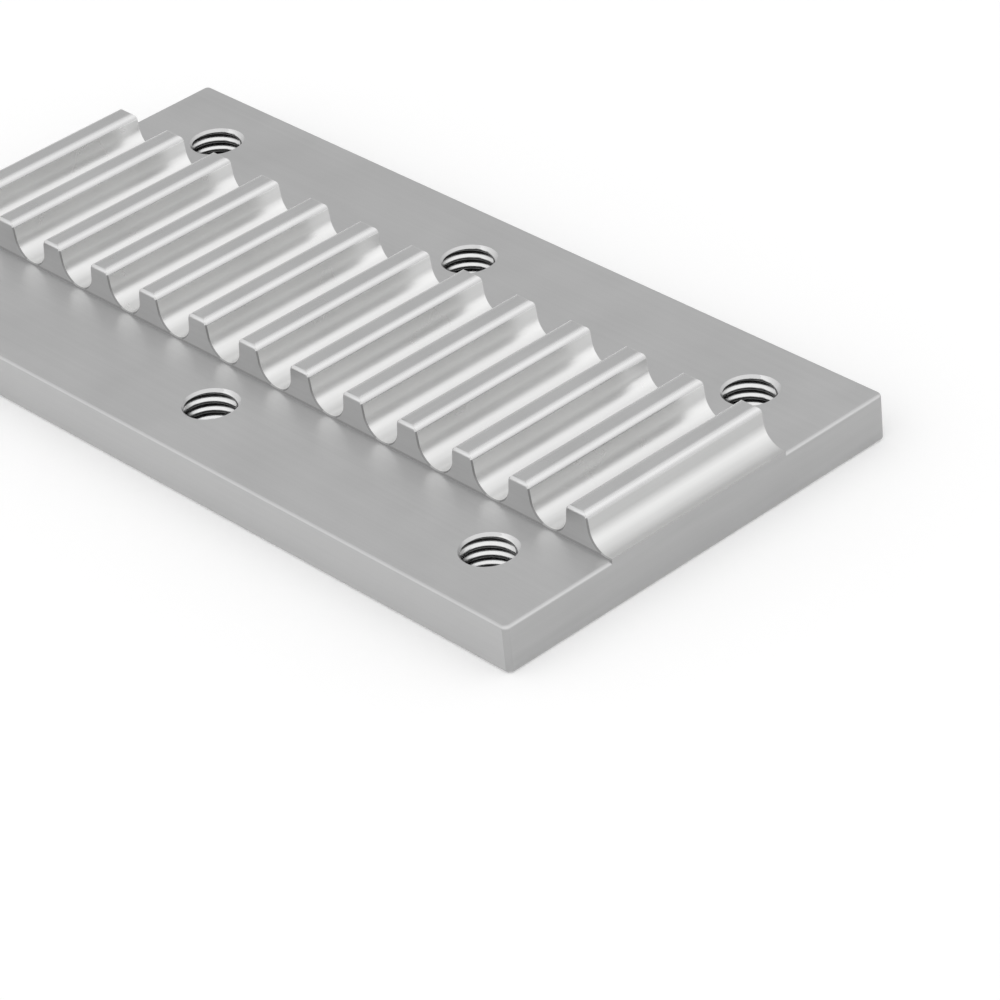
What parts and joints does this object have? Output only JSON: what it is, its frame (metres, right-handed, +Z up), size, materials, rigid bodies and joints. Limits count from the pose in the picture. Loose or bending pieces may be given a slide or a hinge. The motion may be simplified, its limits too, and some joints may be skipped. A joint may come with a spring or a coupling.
{
  "type": "timing belt clamp plate",
  "caption": "Flat machined aluminium plate whose raised toothed band grips a timing belt, between two flanges with tapped holes for the screws of a cover plate.",
  "frame": {"origin": "middle of the plate's flat underside", "axes": "+X along the plate's length, the way the belt runs; +Y across the belt, along the teeth; +Z up, out of the toothed side"},
  "size_m": [0.065, 0.0324, 0.006],
  "materials": {
    "machined_aluminium": "satin, as machined, with softly blended edges"
  },
  "bodies": {
    "root": {"toothed_plate": "machined_aluminium"}
  },
  "joints": []
}
